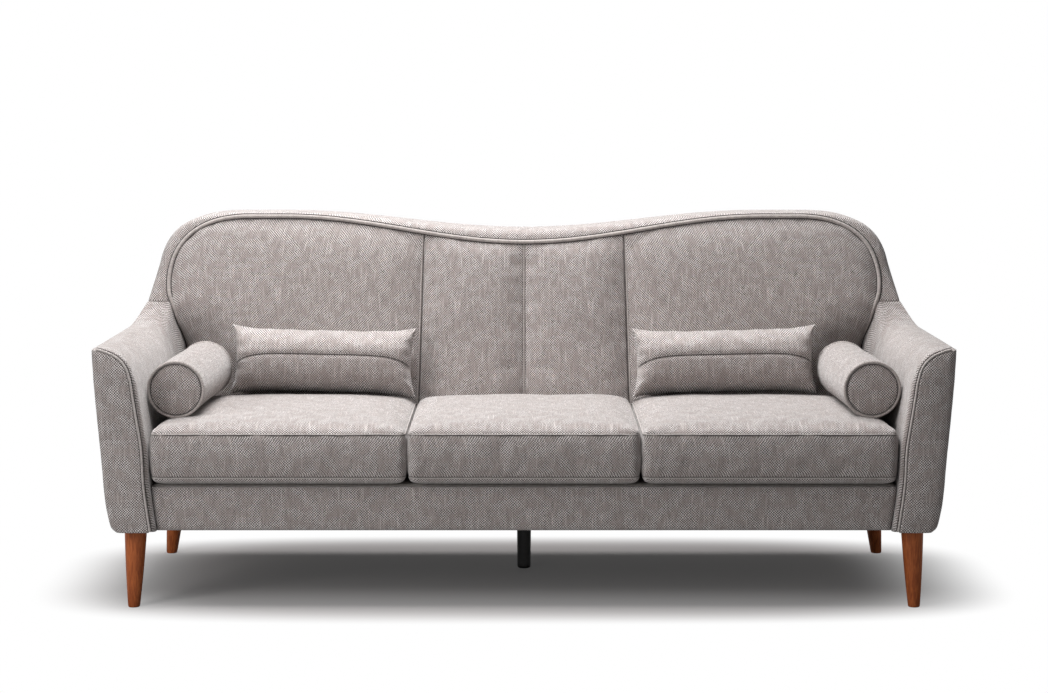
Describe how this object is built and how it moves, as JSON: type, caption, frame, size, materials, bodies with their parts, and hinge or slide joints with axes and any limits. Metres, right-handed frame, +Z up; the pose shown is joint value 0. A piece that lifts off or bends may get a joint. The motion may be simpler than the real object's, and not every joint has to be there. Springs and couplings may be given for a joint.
{
  "type": "three-seat sofa",
  "caption": "Upholstered sofa whose back rises in two humps and dips in the middle, with flared arms, box seat cushions, bolsters, lumbar pillows and tapered wood legs.",
  "frame": {"origin": "on the floor under the middle of the whole sofa", "axes": "+X to the right seen from the front, +Y to the rear, +Z up; the sofa faces -Y"},
  "size_m": [2.08, 0.8714, 0.936],
  "materials": {
    "fabric": "taupe-grey melange weave",
    "welt": "taupe-grey covered cord",
    "walnut": "satin red-brown walnut",
    "black_leg": "satin black paint",
    "timber": "sawn and planed frame timber",
    "steel": "bright drawn and zinc plated",
    "webbing": "elastic webbing",
    "dust_cloth": "black non-woven cloth",
    "deck_felt": "felted deck pad"
  },
  "bodies": {
    "sofa_frame": {"arm_cover_left": "fabric", "arm_cover_right": "fabric", "arm_front_panel_left": "fabric", "arm_front_panel_right": "fabric", "back_panel_inner_left": "fabric", "back_panel_inner_right": "fabric", "back_panel_outer_left": "fabric", "back_panel_outer_right": "fabric", "back_border": "fabric", "outside_back_panel": "fabric", "front_apron": "fabric", "arm_piping_left": "welt", "arm_piping_right": "welt", "back_piping": "welt", "leg_front_left": "walnut", "leg_front_right": "walnut", "leg_back_left": "walnut", "leg_back_right": "walnut", "leg_centre": "black_leg", "front_rail": "timber", "back_rail": "timber", "side_rail_left": "timber", "side_rail_right": "timber", "centre_stretcher": "timber", "corner_block_front_left": "timber", "corner_block_front_right": "timber", "corner_block_back_left": "timber", "corner_block_back_right": "timber", "arm_former_left": "timber", "arm_former_right": "timber", "arm_top_rail_left": "timber", "arm_top_rail_right": "timber", "back_top_rail": "timber", "back_lower_rail": "timber", "back_post_left": "timber", "back_post_right": "timber", "back_centre_upright": "timber", "leg_plate_front_left": "steel", "leg_plate_front_right": "steel", "leg_plate_back_left": "steel", "leg_plate_back_right": "steel", "leg_plate_centre": "steel", "seat_spring_left": "steel", "seat_spring_centre": "steel", "seat_spring_right": "steel", "back_web_inner_left": "webbing", "back_web_inner_right": "webbing", "back_web_outer_left": "webbing", "back_web_outer_right": "webbing", "dust_cover": "dust_cloth", "deck_pad": "deck_felt"},
    "seat_cushion_left": {"seat_cushion_left": "fabric"},
    "seat_cushion_centre": {"seat_cushion_centre": "fabric"},
    "seat_cushion_right": {"seat_cushion_right": "fabric"},
    "bolster_left": {"bolster_left": "fabric"},
    "bolster_right": {"bolster_right": "fabric"},
    "pillow_left": {"pillow_left": "fabric"},
    "pillow_right": {"pillow_right": "fabric"}
  },
  "joints": [
    {"name": "seat_cushion_left_lift", "type": "slide", "parent": "sofa_frame", "child": "seat_cushion_left", "axis": [0, 0, 1], "range_m": [0, 0.4]},
    {"name": "seat_cushion_centre_lift", "type": "slide", "parent": "sofa_frame", "child": "seat_cushion_centre", "axis": [0, 0, 1], "range_m": [0, 0.4]},
    {"name": "seat_cushion_right_lift", "type": "slide", "parent": "sofa_frame", "child": "seat_cushion_right", "axis": [0, 0, 1], "range_m": [0, 0.4]},
    {"name": "bolster_left_lift", "type": "slide", "parent": "seat_cushion_left", "child": "bolster_left", "axis": [0, 0, 1], "range_m": [0, 0.4]},
    {"name": "bolster_right_lift", "type": "slide", "parent": "seat_cushion_right", "child": "bolster_right", "axis": [0, 0, 1], "range_m": [0, 0.4]},
    {"name": "pillow_left_lift", "type": "slide", "parent": "seat_cushion_left", "child": "pillow_left", "axis": [0, 0, 1], "range_m": [0, 0.4]},
    {"name": "pillow_right_lift", "type": "slide", "parent": "seat_cushion_right", "child": "pillow_right", "axis": [0, 0, 1], "range_m": [0, 0.4]}
  ]
}
